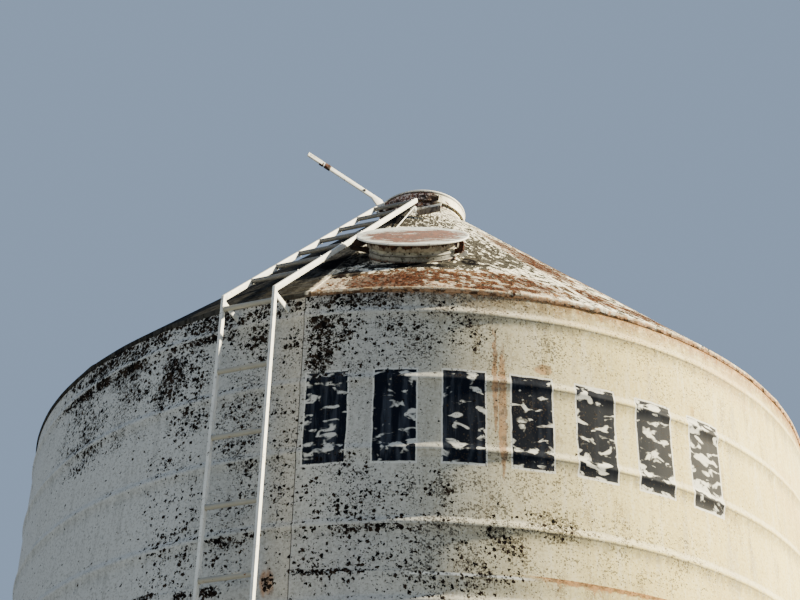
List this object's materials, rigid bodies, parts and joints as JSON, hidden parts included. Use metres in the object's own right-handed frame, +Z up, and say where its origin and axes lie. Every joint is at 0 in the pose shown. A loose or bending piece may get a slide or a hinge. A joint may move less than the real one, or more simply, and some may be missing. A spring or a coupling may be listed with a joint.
{
  "type": "grain silo",
  "caption": "Round ribbed steel grain silo with a conical sheet roof, a tip-up filling lid on a lever, a roof hatch and an access ladder up wall and roof.",
  "frame": {"origin": "on the ground at the centre of the silo's floor", "axes": "+Z up along the silo's axis; -Y towards the side with the roof hatch, the ladder a little to its left; +X to the right seen from there"},
  "size_m": [3.809, 3.809, 6.6479],
  "materials": {
    "wall_paint": "old cream-white paint, chalky, speckled with black lichen and streaked with rust",
    "roof_paint": "weathered pale paint mottled with lichen, brown rust near the eave",
    "white_paint": "worn white paint",
    "rusted_steel": "dark rusted steel",
    "bare_steel": "dull galvanised steel"
  },
  "bodies": {
    "silo_body": {"floor_plate": "bare_steel", "base_ring": "rusted_steel", "wall_course_1_sheet_a": "wall_paint", "wall_course_1_sheet_b": "wall_paint", "wall_course_1_sheet_c": "wall_paint", "wall_course_2_sheet_a": "wall_paint", "wall_course_2_sheet_b": "wall_paint", "wall_course_2_sheet_c": "wall_paint", "wall_course_3_sheet_a": "wall_paint", "wall_course_3_sheet_b": "wall_paint", "wall_course_3_sheet_c": "wall_paint", "wall_course_4_sheet_a": "wall_paint", "wall_course_4_sheet_b": "wall_paint", "wall_course_4_sheet_c": "wall_paint", "cleanout_frame": "wall_paint", "cleanout_cover": "wall_paint", "eave_ring": "bare_steel", "roof_sheet_01": "roof_paint", "roof_sheet_02": "roof_paint", "roof_sheet_03": "roof_paint", "roof_sheet_04": "roof_paint", "roof_sheet_05": "roof_paint", "roof_sheet_06": "roof_paint", "roof_sheet_07": "roof_paint", "roof_sheet_08": "roof_paint", "roof_sheet_09": "roof_paint", "roof_sheet_10": "roof_paint", "filling_neck": "wall_paint", "top_hinge_bracket": "rusted_steel", "rim_clamp": "rusted_steel", "hatch_neck": "wall_paint", "hatch_hinge_bracket": "rusted_steel", "hatch_clamp_lug": "rusted_steel", "wall_ladder": "white_paint", "roof_ladder": "white_paint", "ladder_lug_low_left": "white_paint", "ladder_lug_low_right": "white_paint", "ladder_lug_middle_left": "white_paint", "ladder_lug_middle_right": "white_paint", "ladder_lug_top_left": "white_paint", "ladder_lug_top_right": "white_paint", "ladder_top_stay": "white_paint"},
    "top_lid_body": {"top_lid": "wall_paint", "opener_lever": "white_paint"},
    "hatch_lid_body": {"hatch_lid": "roof_paint"},
    "hatch_clamp_body": {"hatch_clamp_handle": "white_paint"}
  },
  "joints": [
    {"name": "top_lid_hinge", "type": "hinge", "parent": "silo_body", "child": "top_lid_body", "pos_m": [-0.2269, -0.131, 6.425], "axis": [0.5, -0.866, 0], "range_deg": [0, 70]},
    {"name": "hatch_lid_hinge", "type": "hinge", "parent": "silo_body", "child": "hatch_lid_body", "pos_m": [-0.3005, -1.34094, 5.34474], "axis": [-0.0204, -0.7141, -0.6997], "range_deg": [0, 90]},
    {"name": "hatch_clamp_pivot", "type": "hinge", "parent": "silo_body", "child": "hatch_clamp_body", "pos_m": [0.17413, -1.41099, 5.32025], "axis": [-0.2785, -0.6824, -0.6759], "range_deg": [0, 90]}
  ]
}
